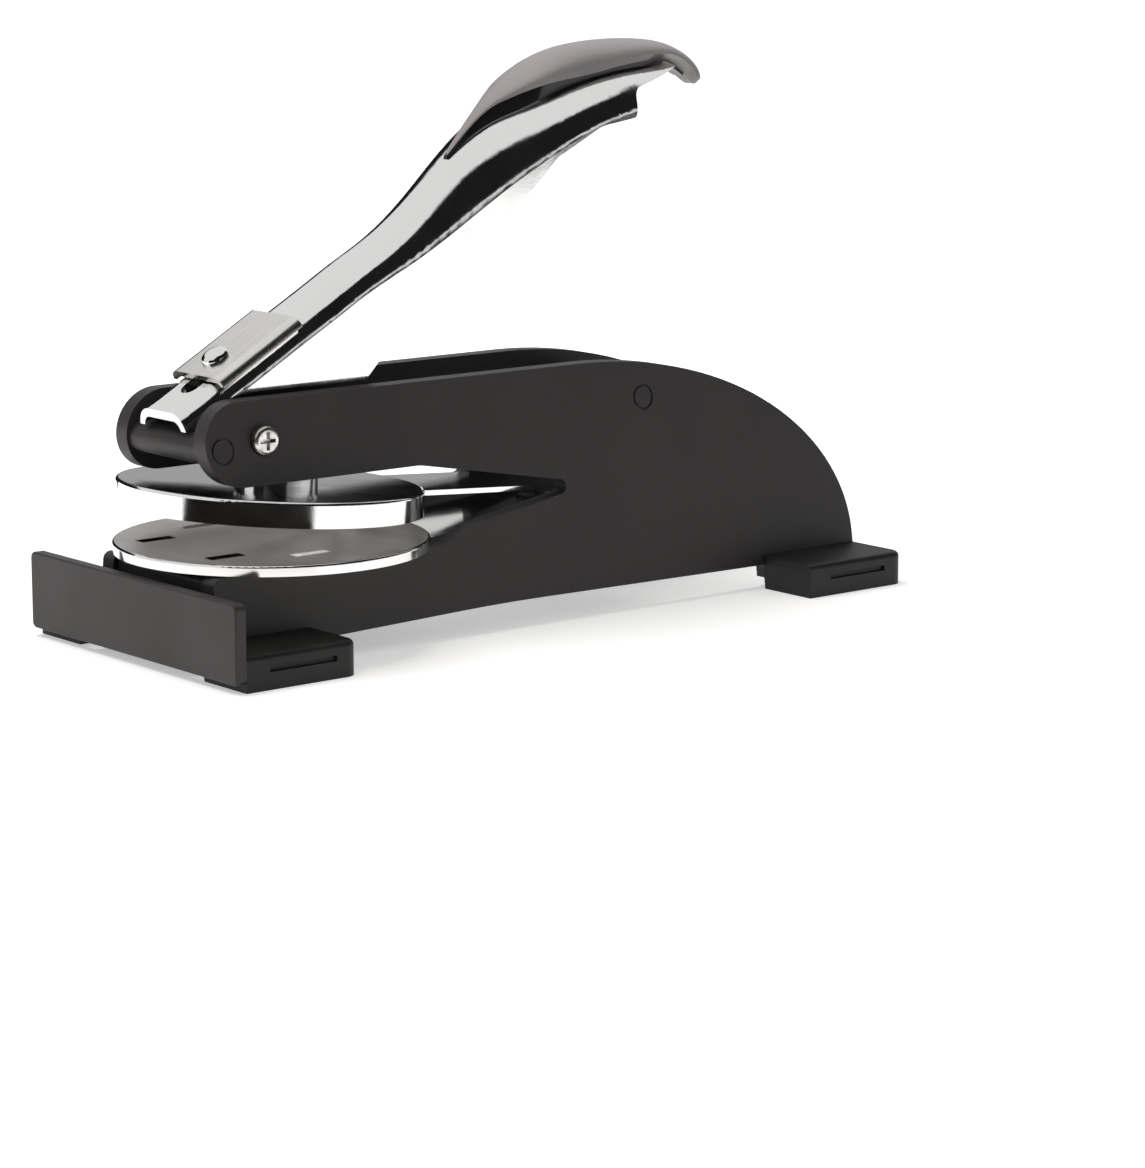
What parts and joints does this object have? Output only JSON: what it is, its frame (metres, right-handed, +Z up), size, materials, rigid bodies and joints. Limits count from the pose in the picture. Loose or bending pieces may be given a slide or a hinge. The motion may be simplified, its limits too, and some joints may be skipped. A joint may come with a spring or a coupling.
{
  "type": "seal_embosser",
  "caption": "Desk seal embosser: leaning black side plates on rubber feet, a chrome lever with a moulded grip, and a slide-out insert of two round die holders.",
  "frame": {"origin": "On the desk, under the middle of the whole stand", "axes": "+X across to the right side as seen by the user in front, +Y from the front plate to the rear feet, +Z up"},
  "size_m": [0.0574, 0.1378, 0.0925],
  "materials": {
    "charcoal_paint": "satin",
    "foot_rubber": "matte",
    "chrome_plate": "polished",
    "plain_steel": "satin",
    "brushed_plate": "brushed",
    "grip_plastic": "satin",
    "base_plastic": "satin"
  },
  "bodies": {
    "stand": {"right_side_plate": "charcoal_paint", "left_side_plate": "charcoal_paint", "front_plate": "charcoal_paint", "anvil_bed": "charcoal_paint", "front_crossbar": "charcoal_paint", "front_rivet": "charcoal_paint", "rear_spacer": "charcoal_paint", "rear_rivet": "charcoal_paint", "front_right_foot": "foot_rubber", "front_left_foot": "foot_rubber", "rear_right_foot": "foot_rubber", "rear_left_foot": "foot_rubber", "pivot_axle": "plain_steel", "pivot_collars": "plain_steel", "pivot_screws": "chrome_plate"},
    "lever_arm": {"lever": "chrome_plate", "grip_base": "base_plastic", "lever_grip": "grip_plastic", "grip_screws": "plain_steel", "press_bar": "plain_steel"},
    "lock": {"lock_slide": "chrome_plate", "lock_rivet": "chrome_plate", "lock_keeper": "plain_steel"},
    "die_insert": {"lower_leaf": "chrome_plate", "lower_disc": "brushed_plate", "hinge_pin": "plain_steel"},
    "upper_holder": {"upper_leaf": "chrome_plate", "upper_cap": "chrome_plate", "press_button": "chrome_plate"}
  },
  "joints": [
    {"name": "lever_pivot", "type": "hinge", "parent": "stand", "child": "lever_arm", "pos_m": [0, -0.0521, 0.0347], "axis": [-1, 0, 0], "range_deg": [0, 22], "stiffness_Nm_per_rad": 0.6, "springref_deg": -17.19},
    {"name": "lock_travel", "type": "slide", "parent": "lever_arm", "child": "lock", "axis": [0, -0.8704, -0.4924], "range_m": [0, 0.006]},
    {"name": "insert_travel", "type": "slide", "parent": "stand", "child": "die_insert", "axis": [0, -1, 0], "range_m": [0, 0.08]},
    {"name": "upper_holder_hinge", "type": "hinge", "parent": "die_insert", "child": "upper_holder", "pos_m": [0, 0.0156, 0.0189], "axis": [1, 0, 0], "range_deg": [0, 4.05]}
  ],
  "couplings": [
    {"joint": "upper_holder_hinge", "follows": "lever_pivot", "ratio": 0.182}
  ]
}
